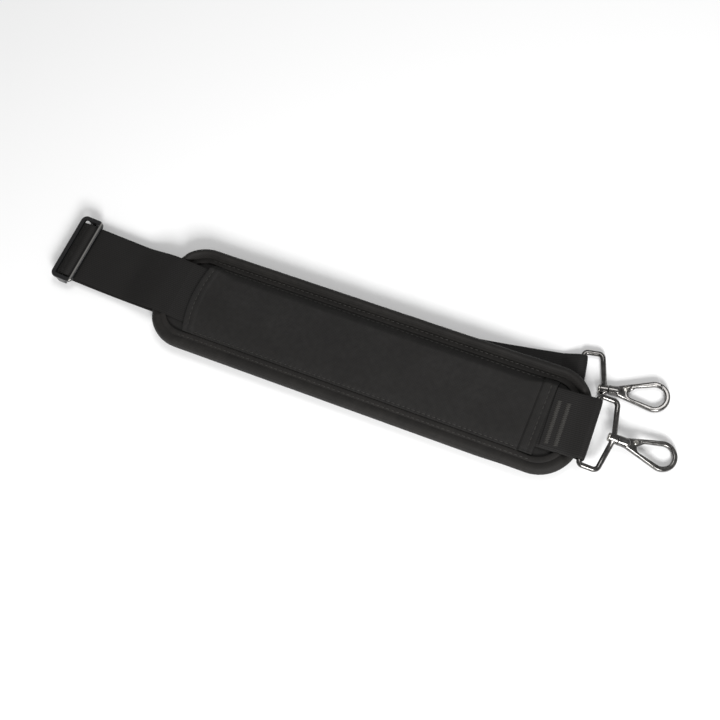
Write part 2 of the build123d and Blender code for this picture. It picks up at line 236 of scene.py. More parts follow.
def relaxed(points, reach):
    """Each point becomes the bell-weighted mean of its neighbours, which rounds the corners."""
    size = int(3 * reach / STEP) + 1
    weights = np.exp(-0.5 * (np.arange(-size, size + 1) * STEP / reach) ** 2)
    before = 2 * points[0] - points[size:0:-1]
    after = 2 * points[-1] - points[-2 : -size - 2 : -1]
    longer = np.concatenate([before, points, after])
    return np.stack([np.convolve(column, weights / weights.sum(), "valid") for column in longer.T], 1)


CLOSE_TO_BAR = 4.0
AWAY_FROM_BAR = 10.0


def softened(points, bar, tight, wide):
    """Rounds a line's corners a little close to a bar and more away from it."""
    distance = np.linalg.norm(points - bar, axis=1)
    share = ease((distance - CLOSE_TO_BAR) / (AWAY_FROM_BAR - CLOSE_TO_BAR))[:, None]
    return relaxed(points, tight) * (1 - share) + relaxed(points, wide) * share


def upright(line, origin, yaw):
    """Stands a line of (along, height) in an upright plane; returns points and across vectors."""
    points = line[:, :1] * [math.cos(yaw), math.sin(yaw), 0] + [origin[0], origin[1], 0]
    points[:, 2] = line[:, 1]
    return points, np.tile([-math.sin(yaw), math.cos(yaw), 0.0], (len(line), 1))


# %% [markdown]
# The tab is the end that is turned back over ring a and sewn down with two rows of tacks. The
# line lies on the strap, goes over the bar and round it, dips under it and carries on along the
# top of the pad.

# %% The end at ring a
TAB_LENGTH = 24.1
TAB_REST = 9.0
DIP_REACH = 5.0
LEAD_A = 22.0
bar_a = np.array([0.0, ring_a[2]])
tab_rest = np.array([-TAB_REST, tab_layer])
dip = np.array([-DIP_REACH, top_layer])
over = touch(tab_rest, bar_a, bar_turn, 1)
under = touch(dip, bar_a, bar_turn, -1)
angle_over, angle_under = [math.degrees(math.atan2(*(p - bar_a)[::-1])) for p in (over, under)]
line_a = np.concatenate([
    [[-TAB_LENGTH, tab_layer], tab_rest],
    arc(bar_a, bar_turn, angle_over, angle_under),
    [dip, [-LEAD_A, top_layer]],
])
line_a = softened(spaced(line_a), bar_a, tight=0.4, wide=1.6)
end_a = upright(line_a, ring_a, yaw_a)
print("loop at ring a:", len(line_a), "points")


# %% [markdown]
# Between the two ends the strip turns slightly in plan, by a few degrees at each mouth of the
# sleeve. Its heading is eased from one angle to the next, and its sideways place is the running
# sum of that heading. Inside the sleeve it settles onto the pad's cover, and it has already sunk
# where it enters the left mouth, which leaves a step there for a shadow.

# %% The stretch inside the sleeve
BEND_REACH = 13.0
PAST_BEND = 20.0
SLEEVE_DIP = 1.0
DIP_RUN = 18.0
LEFT_DIP_IN = 11.0
RIGHT_DIP_IN = 22.0
x_run = np.arange(end_a[0][-1, 0] - STEP, -bend_x - PAST_BEND, -STEP)
turn_a = yaw_a * ease((x_run - bend_x + BEND_REACH) / (2 * BEND_REACH))
turn_c = yaw_c * ease((-bend_x + BEND_REACH - x_run) / (2 * BEND_REACH))
heading = turn_a + turn_c
y_run = end_a[0][-1, 1] - np.cumsum(np.tan(heading)) * STEP
dip_in = np.where(x_run < 0, LEFT_DIP_IN, RIGHT_DIP_IN)
z_run = top_layer - SLEEVE_DIP * ease((half_pad - dip_in - np.abs(x_run)) / DIP_RUN)
run_points = np.stack([x_run, y_run, z_run], 1)
run = run_points, np.stack([-np.sin(heading), np.cos(heading), 0 * heading], 1)
print("sleeve stretch leaves at y =", round(y_run[-1], 2))


# %% [markdown]
# Left of the pad the strip comes down in a lazy S, passes under the slider's two outer bars,
# bulges a little in the window between them, folds under, and runs back along the surface.

# %% The stretch at the slider
EDGE_LEAD = 1.0
DROP_LENGTH = 19.5
WINDOW_BULGE = 1.4
WINDOW_REACH = 4.6
WINDOW_IN = 4.35
SLIDER_BAR_HEIGHT = 1.8
BACK_LENGTH = 5.0
left_end = run_points[-1]
slider_layer = slider_high[2] - SLIDER_BAR_HEIGHT - LAYER_GAP - half_thick
fold_radius = (slider_layer - floor_layer) / 2
corner_reach = WEBBING_WIDTH / 2 * abs(math.sin(yaw_c))
fold_reach = (left_end[0] - strap_low[0] - corner_reach) / math.cos(yaw_c)
fold_along = -(fold_reach - fold_radius - half_thick)
edge_along = -half_pad - left_end[0] - EDGE_LEAD
fold_centre = np.array([fold_along, floor_layer + fold_radius])
line_c = np.concatenate([
    [[0, top_layer], [edge_along, top_layer]],
    [[edge_along - DROP_LENGTH, slider_layer], [fold_along, slider_layer]],
    arc(fold_centre, fold_radius, 90, 270),
    [[fold_along + BACK_LENGTH, floor_layer]],
])
line_c = softened(spaced(line_c), fold_centre, tight=0.5, wide=3.2)
window_middle = fold_along + WINDOW_IN
from_middle = np.clip((line_c[:, 0] - window_middle) / WINDOW_REACH, -1, 1)
swell = WINDOW_BULGE * np.cos(from_middle * math.pi / 2) ** 2
line_c[:, 1] += swell * (line_c[:, 1] > fold_centre[1])
end_c = upright(line_c, left_end, yaw_c)
print("fold reaches x =", round(end_c[0][:, 0].min() - half_thick, 1), "of", round(strap_low[0], 1))


# %% [markdown]
# Under the pad the two lower layers follow one wide arc from the fold to ring b. The arc starts
# along the strip's heading at the fold and ends along the heading of ring b, so its radius comes
# from the distance between them.

# %% The flat arc under the pad
RING_B_LEAD = 12.0
RING_B_FLAT = 2.0
arc_start = end_c[0][-1, :2]
arc_end_x = ring_b[0] - RING_B_LEAD * math.cos(yaw_b)
arc_radius = (arc_end_x - arc_start[0]) / (math.sin(yaw_b) - math.sin(yaw_c))
arc_centre = arc_start + arc_radius * np.array([-math.sin(yaw_c), math.cos(yaw_c)])


def flat_arc(start, end, height):
    """Points and across vectors of the arc between two headings, at one height."""
    turn = np.linspace(start, end, int(abs(end - start) * arc_radius / (3 * STEP)) + 2)
    place = arc_centre + arc_radius * np.stack([np.sin(turn), -np.cos(turn)], 1)
    points = np.column_stack([place, np.full(len(turn), height)])
    return points, np.column_stack([-np.sin(turn), np.cos(turn), 0 * turn])


bar_b = np.array([0.0, ring_b[2]])
line_b = np.concatenate([
    [[-RING_B_LEAD, floor_layer]],
    arc(bar_b, bar_turn, -90, 90),
    [[-RING_B_FLAT, ring_b[2] + bar_turn], [-RING_B_LEAD + STEP, return_layer]],
    [[-RING_B_LEAD, return_layer]],
])
end_b = upright(softened(spaced(line_b), bar_b, tight=0.4, wide=1.5), ring_b, yaw_b)
miss = np.linalg.norm(flat_arc(yaw_c, yaw_b, floor_layer)[0][-1] - end_b[0][0])
print("arc radius", round(arc_radius), "mm; it meets the lead to ring b within", round(miss, 2))


# %% [markdown]
# ## The webbing's section
# Nylon webbing is a flat tube of cloth: its faces are flat and its selvedges are round. The
# section is a lens with blunt ends, and its points crowd towards the selvedges, where it curves.
# The flat map keeps real lengths, so that the weave runs true round every bar.


# %% Carry the section along a path
SECTION_POINTS = 19
BLUNTNESS = 9
SEAM_SHARE = 0.62


def strip(name, points, across):
    """A closed strip: height = half thickness x sqrt(1 - |side|^9) across, carried along a path."""
    side = np.sin(np.linspace(-math.pi / 2, math.pi / 2, SECTION_POINTS))
    depth = np.sqrt(1 - np.abs(side) ** BLUNTNESS)
    section_y = np.r_[side, side[-2:0:-1]] * WEBBING_WIDTH / 2
    section_z = np.r_[depth, -depth[-2:0:-1]] * half_thick
    tangent = np.gradient(points, axis=0)
    normal = np.cross(tangent, across)
    normal /= np.linalg.norm(normal, axis=1)[:, None]
    cloud = points[:, None] + across[:, None] * section_y[None, :, None]
    cloud = cloud + normal[:, None] * section_z[None, :, None]
    rows, columns = cloud.shape[:2]
    along = np.r_[0, np.cumsum(np.linalg.norm(np.diff(points, axis=0), axis=1))]
    flat_map = np.stack(np.broadcast_arrays(section_y[None, :], along[:, None]), -1)
    piece = make_piece(name, cloud.reshape(-1, 3), tube_faces(rows, columns), flat_map.reshape(-1, 2))
    return piece, along[-1]


def joined(*stretches):
    """Puts stretches of (points, across) end to end, leaving out each one's first point."""
    points = np.concatenate([stretches[0][0], *[s[0][1:] for s in stretches[1:]]])
    across = np.concatenate([stretches[0][1], *[s[1][1:] for s in stretches[1:]]])
    return points, across


seam_turn = yaw_c + (yaw_b - yaw_c) * SEAM_SHARE
lower_arc = flat_arc(yaw_c, yaw_b, floor_layer)
upper_arc = flat_arc(yaw_b, seam_turn, return_layer)
strap_path = joined(end_a, run, end_c, lower_arc, end_b, upper_arc)
strap, strap_length = strip("webbing_through_sleeve", *strap_path)
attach(strap, "pad")
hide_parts("webbing_strap")
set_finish(strap, "webbing")
print("webbing from tab to seam:", round(strap_length), "mm")


# %% [markdown]
# The return leg ends at the slider: it goes under the centre bar, round it, and its end is sewn
# back on itself. When the slider moves, this leg has to give; here it is baked in place on no body.

# %% The return leg
CENTRE_BAR_RADIUS = 1.0
CENTRE_BAR_GAP = 0.15
CENTRE_BAR_IN = 3.2
TAIL_FALL = 11.0
SEWN_BACK = 34.0
bar_c_turn = CENTRE_BAR_RADIUS + CENTRE_BAR_GAP + half_thick
bar_c = np.array([fold_along + CENTRE_BAR_IN, return_layer + bar_c_turn])
tail_layer = return_layer + WEBBING_THICKNESS + LAYER_GAP / 3
line_t = np.concatenate([
    [[fold_along + BACK_LENGTH, return_layer]],
    arc(bar_c, bar_c_turn, 270, 90),
    [[bar_c[0] + TAIL_FALL, tail_layer], [bar_c[0] + SEWN_BACK, tail_layer]],
])
end_t = upright(softened(spaced(line_t), bar_c, tight=0.35, wide=1.5), left_end, yaw_c)
leg_path = joined(flat_arc(seam_turn, yaw_c, return_layer), end_t)
leg, leg_length = strip("webbing_to_slider", *leg_path)
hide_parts("webbing_return_leg")
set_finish(leg, "webbing")
print("return leg:", round(leg_length), "mm; webbing in all:", round(strap_length + leg_length))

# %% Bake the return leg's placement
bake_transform(leg)


# %% [markdown]
# ## The pad
# The pad is foam between two cloths, bound all round. The binding makes a roll about six
# millimetres wide and then a flat band that is sewn down, so its section has two dips: one where
# the roll meets the band, and one where the band meets the panel. A cloth simulation would lose
# these narrow seams, so the puffiness comes from a formula: the roll swells and sinks in a few
# mixed waves.


# %% Pad outline
def rounded_outline(half_x, half_y, radius, step):
    """Points round a rectangle with round corners, anticlockwise, the lower half mirroring the upper."""
    centre = half_x - radius, half_y - radius
    quarter = arc(centre, radius, 0, 90)
    upper = np.concatenate([[[half_x, 0]], quarter, quarter[::-1] * [-1, 1], [[-half_x, 0]]])
    upper = spaced(upper, step)
    return np.concatenate([upper, upper[-2:0:-1] * [1, -1]])


PAD_CORNER = 24.0
OUTLINE_STEP = 0.7
outline = rounded_outline(half_pad, half_wide, PAD_CORNER, OUTLINE_STEP)
gap_before = np.linalg.norm(outline - np.roll(outline, 1, axis=0), axis=1)
outline_along = np.cumsum(gap_before) - gap_before[0]
spine = outline.copy()
spine[:, 0] = np.clip(outline[:, 0], half_wide - half_pad, half_pad - half_wide)
spine[:, 1] = 0
spine_distance = np.linalg.norm(spine - outline, axis=1)[:, None]
inward = (spine - outline) / spine_distance
print("pad outline:", len(outline), "points,", round(outline_along[-1]), "mm round")

# %% Heights of the pad
ROLL_RADIUS = 3.3
ROLL_CROWN = 13.0
SEAM_LEVEL = 11.6
SEAM_DIP = 0.55
BAND_START = 6.2
BAND_END = 9.9
BAND_SWELL = 0.45
NEAR_RISE = 1.2
FAR_DIP = 2.2
FAR_TILT = 1.5
SIDE_RISE = 0.5
FAR_CALM = 0.6
SIDE_START = 8.0
SIDE_FADE = 12.0
DROOP = 0.25
DROOP_START = 19.0
DROOP_RUN = 15.0
DROOP_END_IN = 30.0
DROOP_FADE = 40.0
PRESS_HALF = 25.0
PRESS_MIDDLE = 1.8
PRESS_EDGE = 4.0
PRESS_START = 108.0
PRESS_RUN = 12.0
PRESS_GAP = 0.05
LIFT_END_IN = 34.0
LIFT_RUN = 23.0
PUFF_WAVES = [(0.1, 3.1, 0), (0.07, 7.3, 1), (0.06, 17, 2)]
pad_bottom = border_low[2]
lifted_bottom = ring_b[2] + bar_turn + half_thick + LAYER_GAP
lift_start = half_pad - LIFT_END_IN - LIFT_RUN


def underside(x):
    """The height of the pad's underside: it rises over ring b."""
    return pad_bottom + (lifted_bottom - pad_bottom) * ease((x - lift_start) / LIFT_RUN)


def sides(y):
    """Two shares: 1 along the near long side, and 1 along the far one, fading out at the ends."""
    return ease((-y - SIDE_START) / SIDE_FADE), ease((y - SIDE_START) / SIDE_FADE)


def roll_crown(x, y):
    """The height of the roll's crown: the webbing presses it down at both ends."""
    across = ease((PRESS_HALF - np.abs(y - PRESS_MIDDLE)) / PRESS_EDGE)
    pressed = across * ease((np.abs(x) - PRESS_START) / PRESS_RUN)
    full = ROLL_CROWN + SIDE_RISE * sum(sides(y))
    return full + (border_high[2] - PRESS_GAP - full) * pressed


def droop(x, y):
    """How far the near edge hangs, where no webbing lies under it."""
    near_edge = ease((-y - DROOP_START) / DROOP_RUN)
    return DROOP * near_edge * ease((half_pad - DROOP_END_IN - x) / DROOP_FADE)


def puff(along):
    """How much the roll swells and sinks along its length: a sum of (height, run, shift) waves."""
    return sum(height * np.sin(along / run + shift) for height, run, shift in PUFF_WAVES)


def binding_height(inset, crown, low, y):
    """The binding's upper face: half an ellipse, a parabola down to the seam, a shallow pillow."""
    near, far = sides(y)
    ellipse = np.sqrt(np.clip(1 - ((inset - ROLL_RADIUS) / ROLL_RADIUS) ** 2, 0, 1))
    rise = (crown + low) / 2 + (crown - low) / 2 * ellipse
    seam = np.minimum(SEAM_LEVEL + NEAR_RISE * near - FAR_DIP * far, crown - SEAM_DIP)
    fall = crown - (crown - seam) * ((inset - ROLL_RADIUS) / (BAND_START - ROLL_RADIUS)) ** 2
    share = np.clip((inset - BAND_START) / (BAND_END - BAND_START), 0, 1)
    swell = BAND_SWELL * (1 - FAR_CALM * far) * np.sqrt(np.sin(math.pi * share))
    pillow = seam + FAR_TILT * far * share + swell
    return np.where(inset < ROLL_RADIUS, rise, np.where(inset < BAND_START, fall, pillow))


# %% The binding
free = (roll_crown(*outline.T) - border_high[2]) / (ROLL_CROWN - border_high[2])
crown = (roll_crown(*outline.T) + puff(outline_along) * np.clip(free, 0, 1))[:, None]
side_y = outline[:, 1:]
low = underside(outline[:, :1])


def pad_cloud(inset, height):
    """Points at a distance inside the outline and a height, with the near edge drooping."""
    x = outline[:, :1] + inward[:, :1] * inset
    y = outline[:, 1:] + inward[:, 1:] * inset
    return np.stack([x, y, height - droop(x, y)], -1)


def carried_round(name, inset, height):
    """A closed surface from a section at every point of the outline; inset and height are grids."""
    cloud = pad_cloud(inset, height)
    cloud = np.concatenate([cloud, cloud[:1]])
    rows, columns = cloud.shape[:2]
    return make_piece(name, cloud.reshape(-1, 3), grid_faces(rows, columns, True), crease=75)


lower_turn = np.radians(np.linspace(-90, 0, 12)[:-1])[None, :]
upper_turn = np.radians(np.linspace(0, 90, 14)[:-1])[None, :]
under_in = np.linspace(BAND_END, ROLL_RADIUS, 5)[None, :-1]
lower_in = ROLL_RADIUS * (1 - np.cos(lower_turn))
upper_in = ROLL_RADIUS * (1 - np.cos(upper_turn))
fall_in = np.linspace(ROLL_RADIUS, BAND_START, 9)[None, :-1]
band_in = BAND_START + (BAND_END - BAND_START) * (1 - np.cos(np.linspace(0, math.pi, 13)))[None, :] / 2
top_in = np.concatenate([upper_in, fall_in, band_in], 1) + 0 * low
lower_z = (crown + low) / 2 + (crown - low) / 2 * np.sin(lower_turn)
binding_in = np.concatenate([under_in + 0 * low, lower_in + 0 * low, top_in], 1)
binding_z = np.concatenate([low + 0 * under_in, lower_z, binding_height(top_in, crown, low, side_y)], 1)
binding = carried_round("pad_binding", binding_in, binding_z)
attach(binding, "pad")
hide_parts("pad_edge_binding")
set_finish(binding, "binding_cloth")

# %% [markdown]
# The cover and the backing are two shallow cushions that meet halfway up, inside the binding.
# Each section starts under the binding, follows the visible cloth to the pad's middle line, and
# comes back through the hidden middle.

# %% The cover and the backing
TUCK = 2.0
FIELD_IN = 12.6
EDGE_DIP = 0.3
MIDDLE_HEIGHT = 8.2
FAR_SINK = 1.9
SINK_START = 14.0
SINK_RUN = 9.0
BACKING_LIFT = 0.12
cover_level = cover_high[2] - 0.1


def cushion(name, level, dip):
    """A shallow cushion: it tucks under the binding, dips at its edge and is level beyond it."""
    under = np.linspace(BAND_END - TUCK, BAND_END, 4)[None, :-1] + 0 * low
    climb = np.linspace(BAND_END, FIELD_IN, 7)[None, :-1] + 0 * low
    field = FIELD_IN + (spine_distance - FIELD_IN) * np.linspace(0, 1, 14)[None, :]
    visible = np.concatenate([under, climb, field], 1)
    edge = 1 - ease((visible - BAND_END) / (FIELD_IN - BAND_END))
    tuck = np.clip((BAND_END - visible) / TUCK, 0, 1)
    height = level(visible) - dip * (edge + 2 * tuck)
    inset = np.concatenate([visible, visible[:, ::-1]], 1)
    return carried_round(name, inset, np.concatenate([height, np.full_like(visible, MIDDLE_HEIGHT)], 1))


def backing_level(inset):
    """The backing lies just above the binding's lowest line."""
    return underside(outline[:, :1] + inward[:, :1] * inset) + BACKING_LIFT


def cover_height(inset):
    """The cover is level, and sinks along the far side, where the foam is softer."""
    y = outline[:, 1:] + inward[:, 1:] * inset
    return cover_level - FAR_SINK * ease((y - SINK_START) / SINK_RUN)


cover = cushion("pad_cover", cover_height, EDGE_DIP)
backing = cushion("pad_backing_cloth", backing_level, -EDGE_DIP)
for piece, slot, nodes in [
    (cover, "cover_cloth", ["pad_top_cover", "pad_foam_core"]),
    (backing, "backing_cloth", ["pad_backing"]),
]:
    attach(piece, "pad")
    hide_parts(*nodes)
    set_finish(piece, slot)


# %% [markdown]
# ## The sleeve panel
# The panel is one cloth sewn down along both sides, so the strap can slide through. Its height
# is a formula of the distance to its sides: flat over the webbing and sloping beyond its
# selvedge, more on the far side, where the pad is softer. Both ends are turned under and sewn
# down the middle of the turning, which leaves a raised band with a groove along it. The seams
# pull the cloth in at every stitch, so it puckers in time with them.

# %% Panel sizes
PANEL_THICKNESS = 0.9
LEFT_BAND = 7.0
RIGHT_BAND = 8.9
HEM_ROW = 3.4
BAND_RISE = 0.45
HEM_CURVE = 4.0
SEAM_IN = 1.6
STITCH_PITCH = 3.2
panel_half = panel_high[1]
panel_end = panel_high[0]
panel_crown = panel_high[2] - 0.4
SIDE_RUN = 7.5
MOUTH_RUN = 4.4
MOUTH_IN = 20.0
MOUTH_FADE = 16.0
SLOPE_EASE = 0.25
SEAM_PINCH = 0.2
HEM_GROOVE = 0.3
RIGHT_CREASE = 0.6
PUCKER = 0.08
DRAPE = 0.14
NEAR_DROP = 0.4
FAR_DROP = 4.5


def panel_left(y):
    """The curved hem's place along the pad: a shallow parabola."""
    return -panel_end + HEM_CURVE * (y / panel_half) ** 2


def bell(distance, width):
    """1 on a line and fading beside it: e to the power -distance^2 / width."""
    return np.exp(-(distance**2) / width)


def panel_height(x, y):
    """The panel's upper face: flat, then falling by t^2 / (t + 0.25) to its sides, pinched, puckered."""
    side = panel_half - np.abs(y)
    left_hem, right_hem = x - panel_left(y), panel_end - x
    hem = np.minimum(left_hem, right_hem)
    slope_run = SIDE_RUN + (MOUTH_RUN - SIDE_RUN) * ease((MOUTH_IN - hem) / MOUTH_FADE)
    t = np.clip(1 - side / slope_run, 0, 1)
    fall = (1 + SLOPE_EASE) * t**2 / (t + SLOPE_EASE)
    drop = np.where(y > 0, FAR_DROP, NEAR_DROP) * fall
    pinch = SEAM_PINCH * bell(side - SEAM_IN, 0.5)
    pucker = PUCKER * np.cos(x * 2 * math.pi / STITCH_PITCH) * bell(side - SEAM_IN, 2.5)
    band = ease((LEFT_BAND + 0.4 - left_hem) / 1.2) + ease((RIGHT_BAND - right_hem) / 0.9)
    groove = HEM_GROOVE * bell(hem - HEM_ROW, 0.7)
    crease = RIGHT_CREASE * bell(right_hem - RIGHT_BAND - 0.3, 0.5)
    ripple = np.sin(x / 23 + 1.0) * np.cos(y / 9.0) + 0.6 * np.sin(x / 9.5 + y / 12.0)
    drape = DRAPE * ripple * ease((hem - 4.0) / 20.0) * ease((side - 2.0) / 6.0)
    height = panel_crown - drop + drape + BAND_RISE * band - pinch - groove - crease
    return height + pucker - droop(x, y)


# %% Build the panel
def crowded(half, step, rim):
    """Places from -half to half, with extra ones in the last rim so that an edge can be round."""
    even = np.linspace(-half + rim, half - rim, int(2 * (half - rim) / step) + 1)
    edge = rim * (1 - np.cos(np.linspace(0, math.pi / 2, 6)))[:-1]
    return np.r_[-half + edge, even, (half - edge)[::-1]]


def round_edge(distance, rim):
    """The share of full thickness near an edge: a quarter circle over the last rim."""
    d = np.clip(distance / rim, 0, 1)
    return np.sqrt(1 - (1 - d) ** 2)


PANEL_RIM = 0.45
across_places = crowded(panel_half, 0.55, PANEL_RIM)
length_places = crowded(1.0, 0.6 / panel_end, PANEL_RIM / panel_end)
grid_y = across_places[None, :] + 0 * length_places[:, None]
left = panel_left(grid_y)
grid_x = left + (panel_end - left) * (length_places[:, None] + 1) / 2
top = panel_height(grid_x, grid_y)
to_side = panel_half - np.abs(grid_y)
to_hem = np.minimum(grid_x - left, panel_end - grid_x)
thickness = PANEL_THICKNESS * round_edge(to_side, PANEL_RIM) * round_edge(to_hem, PANEL_RIM)
middle = top - PANEL_THICKNESS / 2
faces_of = [middle + thickness / 2, middle - thickness / 2]
panel_cloud = np.concatenate([np.stack([grid_x, grid_y, z], -1).reshape(-1, 3) for z in faces_of])
rows, columns = grid_x.shape
panel_faces = np.concatenate([
    grid_faces(rows, columns, False),
    grid_faces(rows, columns, False, rows * columns)[:, ::-1],
])
panel = make_piece("sleeve_cloth", panel_cloud, panel_faces)
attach(panel, "pad")
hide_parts("sleeve_panel")
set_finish(panel, "panel_cloth")


# %% [markdown]
# ## Stitches
# A lockstitch shows as a row of short beads with a gap between them. Each bead is a capsule, a
# ring of six points swept from one end to the other, and all the beads of a row are made at once
# as one array. A curve with a dashed texture would be lighter, but a bead catches the light.


# %% Beads along a line
BEAD_SHARE = 0.72
SLOPE_STEP = 0.2


def beads(name, starts, ends, ups, width=0.62, height=0.5):
    """Capsules from starts to ends: place follows (1 - cos pi s) / 2, radius follows sqrt(sin pi s)."""
    share = np.linspace(0, 1, 7)[None, :, None, None]
    angle = (np.arange(6) * math.pi / 3)[None, None, :, None]
    starts, ends, ups = (np.asarray(a, float)[:, None, None, :] for a in (starts, ends, ups))
    forward = ends - starts
    sideways = np.cross(forward, ups)
    sideways = sideways / np.linalg.norm(sideways, axis=-1, keepdims=True)
    swell = np.sqrt(np.clip(np.sin(math.pi * share), 0, 1))
    centre = starts + forward * (1 - np.cos(math.pi * share)) / 2
    ring = sideways * np.cos(angle) * width / 2 + ups * np.sin(angle) * height / 2
    cloud = centre + ring * swell
    count, rows, columns = cloud.shape[:3]
    one = grid_faces(rows, columns, True)
    faces = one[None] + (np.arange(count) * rows * columns)[:, None, None]
    return make_piece(name, cloud.reshape(-1, 3), faces.reshape(-1, 4), crease=80)


def row(path, surface):
    """Bead ends along a path in plan, laid on a surface given as a height formula."""
    marks = spaced(path, STITCH_PITCH)
    middle, half = (marks[1:] + marks[:-1]) / 2, (marks[1:] - marks[:-1]) / 2 * BEAD_SHARE
    ends = [np.column_stack([p, surface(*p.T)]) for p in (middle - half, middle + half)]
    slope_x = (surface(middle[:, 0] + SLOPE_STEP, middle[:, 1]) - surface(*middle.T)) / SLOPE_STEP
    slope_y = (surface(middle[:, 0], middle[:, 1] + SLOPE_STEP) - surface(*middle.T)) / SLOPE_STEP
    up = np.column_stack([-slope_x, -slope_y, np.ones(len(middle))])
    return ends[0], ends[1], up / np.linalg.norm(up, axis=1)[:, None]


def rows_together(rows):
    """Several rows as one set of beads."""
    return [np.concatenate(part) for part in zip(*rows)]


# %% Stitches of the sleeve
SEAM_STOP = 2.0
HEM_ROW_STOP = 2.5
seam_y = panel_half - SEAM_IN
seam_reach = panel_end - RIGHT_BAND - SEAM_STOP
hem_y = np.linspace(-seam_y + HEM_ROW_STOP, seam_y - HEM_ROW_STOP, 30)
sleeve_rows = [
    row([[-seam_reach, side * seam_y], [seam_reach, side * seam_y]], panel_height) for side in (-1, 1)
]
sleeve_rows += [
    row(np.stack([panel_left(hem_y) + HEM_ROW, hem_y], 1), panel_height),
    row(np.stack([panel_end - HEM_ROW + 0 * hem_y, hem_y], 1), panel_height),
]
sleeve_stitches = beads("sleeve_stitches", *rows_together(sleeve_rows))
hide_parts("sleeve_thread")


# %% Stitches of the border
def border_height(x, y):
    """The binding's height along the pad's two long sides."""
    inset = half_wide - np.abs(y)
    return binding_height(inset, ROLL_CROWN + SIDE_RISE + 0 * x, underside(x), y) - droop(x, y)


BORDER_ROW_IN = 0.9
border_row_y = half_wide - BAND_START - BORDER_ROW_IN
straight = half_pad - PAD_CORNER
border_rows = [
    row([[-straight, side * border_row_y], [straight, side * border_row_y]], border_height)
    for side in (-1, 1)
]
border_stitches = beads("border_stitches", *rows_together(border_rows))
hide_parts("border_thread")


# %% [markdown]
# A bar tack is a dense zigzag. Each bead runs from one side of the row to the other, and the
# next one runs back, so the row looks like a raised bar from a distance.


# %% Bar tacks
TACK_HALF = 1.5
TACK_PITCH = 1.15
TAB_TACKS = (-20.8, -15.2)
TAIL_TACKS = (13.0, 8.0)


def tack(origin, yaw, along, reach, height):
    """Zigzag beads across the webbing: the ends alternate between two lines on either side of a row."""
    across = np.arange(*reach, TACK_PITCH / 2)
    zigzag = along + TACK_HALF * np.where(np.arange(len(across)) % 2, 1, -1)
    forward = np.array([math.cos(yaw), math.sin(yaw)])
    sideways = np.array([-math.sin(yaw), math.cos(yaw)])
    plan = np.array(origin[:2]) + zigzag[:, None] * forward + across[:, None] * sideways
    points = np.column_stack([plan, np.full(len(plan), height)])
    return points[:-1], points[1:], np.tile([0.0, 0, 1], (len(plan) - 1, 1))


tab_top = tab_layer + half_thick
tab_rows = [tack(ring_a, yaw_a, along, (-16, 11.5), tab_top) for along in TAB_TACKS]
tab_stitches = beads("tab_bar_tacks", *rows_together(tab_rows), width=0.6, height=0.55)
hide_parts("tab_thread")
tail_top = tail_layer + half_thick
tail_rows = [
    tack(left_end, yaw_c, bar_c[0] + SEWN_BACK - back, (-13, 13), tail_top) for back in TAIL_TACKS
]
tail_stitches = beads("slider_bar_tacks", *rows_together(tail_rows), width=0.6, height=0.5)
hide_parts("return_thread")
for piece in (sleeve_stitches, border_stitches, tab_stitches):
    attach(piece, "pad")
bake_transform(tail_stitches)
for piece in (sleeve_stitches, border_stitches, tab_stitches, tail_stitches):
    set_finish(piece, "thread")


# %% [markdown]
# ## The metal
# The rings, hooks and slider keep the construction's own shapes. Those meshes are loose
# triangles, which shine in flat facets. A merged copy with soft normals, creased only at real
# edges, reflects a studio light as one flowing band.


# %% Smooth copies of the metal pieces
METAL_CREASE = 32


def smooth_copy(node, name, slot):
    """The node's own surface with its doubles merged and its normals flowing, on the same body."""
    mesh = frame["nodes"][node].data.copy()
    work = bmesh.new()
    work.from_mesh(mesh)
    bmesh.ops.remove_doubles(work, verts=work.verts, dist=2e-6)
    work.to_mesh(mesh)
    work.free()
    piece = put_in_scene(name, mesh, METAL_CREASE)
    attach(piece, frame["nodes"][node]["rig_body"])
    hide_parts(node)
    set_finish(piece, slot)
    return piece


METAL = {
    "ring_{}": ("ring_wire_{}", "ring_metal"),
    "swivel_post_{}": ("swivel_{}", "pin_metal"),
    "hook_body_{}": ("hook_{}", "hook_metal"),
    "gate_{}": ("hook_gate_{}", "hook_metal"),
    "gate_pin_{}": ("gate_rivet_{}", "pin_metal"),
}
metal_pieces = [
    smooth_copy(node.format(side), name.format(side), slot)
    for side in "ab"
    for node, (name, slot) in METAL.items()
]
metal_pieces.append(smooth_copy("slider", "slider_frame", "slider_metal"))
print(len(metal_pieces), "metal pieces")


# %% [markdown]
# The gate's spring is a coil of thin wire in a pocket behind the gate. The frame holds its
# outer cylinder, so the coil is swept inside that: a helix round the line between the middles of
# the cylinder's two ends.


# %% Gate springs
COIL_TURNS = 7
COIL_WIRE = 0.22


